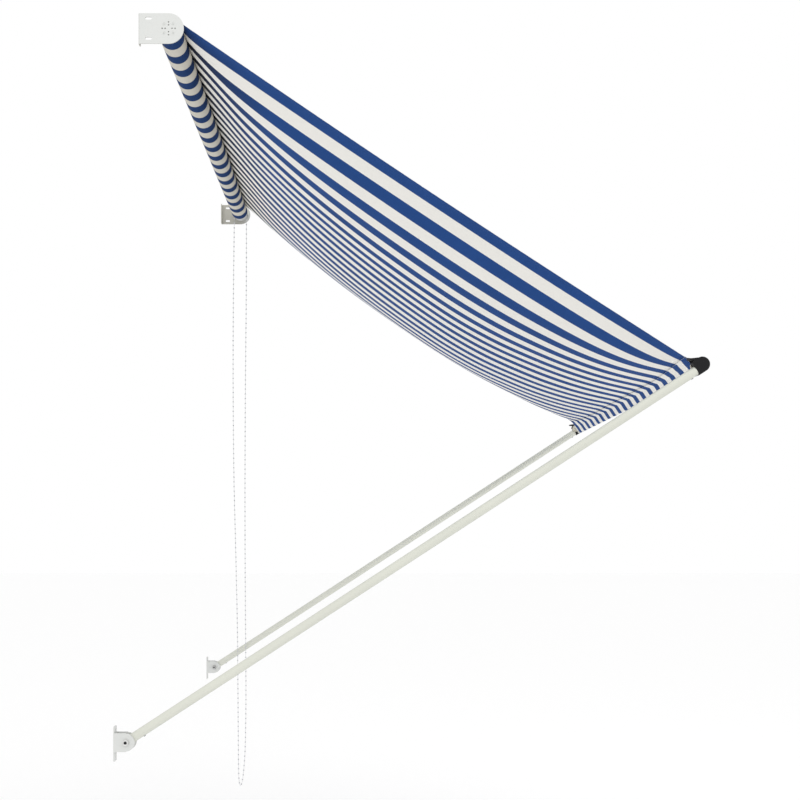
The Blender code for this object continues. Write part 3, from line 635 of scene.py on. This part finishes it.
chain = {"bead": 0.0050, "pitch": 0.0161, "cord": 0.0013, "wheel": 0.0205}
overFront = [(rollAxis.y - chain["wheel"] * math.sin(math.radians(d)), chain["wheel"] * math.cos(math.radians(d)))
             for d in range(2, 91, 11)]
overBack = [(2 * rollAxis.y - y, z) for y, z in reversed(overFront)]
down = [(-0.0868, -0.06), (-0.0860, -0.30), (-0.0832, -0.60), (-0.0818, -0.95), (-0.0826, -1.25),
        (-0.0845, -1.50), (-0.0850, -1.68), (-0.0828, -1.82), (-0.0780, -1.90), (-0.0728, -1.942),
        (-0.0685, -1.956)]
up = [(-0.0645, -1.955), (-0.0612, -1.935), (-0.0600, -1.89), (-0.0590, -1.80), (-0.0575, -1.60),
      (-0.0555, -1.40), (-0.0500, -1.15), (-0.0440, -0.90), (-0.0412, -0.60), (-0.0420, -0.30),
      (-0.0448, -0.06)]


def chainLine():
    # a smooth line through the route's own points, a point every few millimetres
    route = [Vector((sprocketX, y, z)) for y, z in overFront + down + up + overBack]
    line = []
    for i in range(len(route) - 1):
        before, here = route[max(i - 1, 0)], route[i]
        there, after = route[i + 1], route[min(i + 2, len(route) - 1)]
        steps = max(2, round((there - here).length / 0.006))
        for step in range(steps):
            t = step / steps
            line.append(0.5 * (2 * here + (there - before) * t
                               + (2 * before - 5 * here + 4 * there - after) * t * t
                               + (3 * here - before - 3 * there + after) * t ** 3))
    return line + [route[-1]]


def beadPlaces(line):
    places, want, run = [], chain["pitch"] / 2, 0.0
    for a, b in zip(line, line[1:]):
        step = (b - a).length
        while run + step >= want:
            places.append((a.lerp(b, (want - run) / step), (b - a).normalized()))
            want += chain["pitch"]
        run += step
    return places


def makeChain():
    line = chainLine()
    data = bpy.data.curves.new("chain_cord", "CURVE")
    data.dimensions = "3D"
    data.bevel_depth = chain["cord"] / 2
    data.bevel_resolution = 1
    data.use_fill_caps = True
    spline = data.splines.new("POLY")
    spline.points.add(len(line) - 1)
    for point, place in zip(spline.points, line):
        point.co = (*place, 1)
    core = bpy.data.objects.new("chain_cord", data)
    bpy.context.collection.objects.link(core)
    pickOnly(core)
    bpy.ops.object.convert(target="MESH")
    core = bpy.context.object
    bpy.ops.mesh.primitive_uv_sphere_add(segments=10, ring_count=7, radius=chain["bead"] / 2)
    bead = bpy.context.object
    bpy.ops.object.mode_set(mode="EDIT")
    bpy.ops.mesh.select_all(action="SELECT")
    bpy.ops.transform.resize(value=(1, 1, 1.12))
    bpy.ops.object.mode_set(mode="OBJECT")
    bpy.ops.object.shade_smooth()
    copies = []
    for place, along in beadPlaces(line):
        copy = bpy.data.objects.new("bead", bead.data.copy())
        copy.matrix_world = Matrix.Translation(place) @ along.to_track_quat("Z", "X").to_matrix().to_4x4()
        bpy.context.collection.objects.link(copy)
        copies.append(copy)
    bpy.data.objects.remove(bead)
    deselectAll()
    for copy in copies:
        copy.select_set(True)
    core.select_set(True)
    bpy.context.view_layer.objects.active = core
    bpy.ops.object.join()
    settle(core, "chain_loop")
    putOn(core, chainPlastic)
    return core, line


chainLoop, chainPath = makeChain()
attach(chainLoop, "wall_mounts")
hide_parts("bead_chain")
print("chain made")


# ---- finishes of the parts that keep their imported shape

slotFinish = {"white_paint": whitePaint, "ivory_paint": ivoryPaint, "grey_plastic": greyPlastic,
              "black_plastic": blackPlastic, "tan_plastic": tanPlastic, "zinc_steel": zincSteel,
              "aluminium": tubeMetal}
for row in frame["record"]["subparts"]:
    node = nodes[row["node"]]
    if row["material_slot"] in slotFinish:
        putOn(node, slotFinish[row["material_slot"]])
for name in ("idler", "clutch"):
    for number in range(1, 5):
        putOn(nodes[f"{name}_screw_{number}"], whitePaint)
# the brackets take the coat with painted shade on their inner faces
for name in ("left", "right"):
    putOn(nodes[name + "_roller_bracket"], bracketShadedCoat)
    putOn(nodes[name + "_pivot_bolt"], boltPlate)
print("finishes laid on")
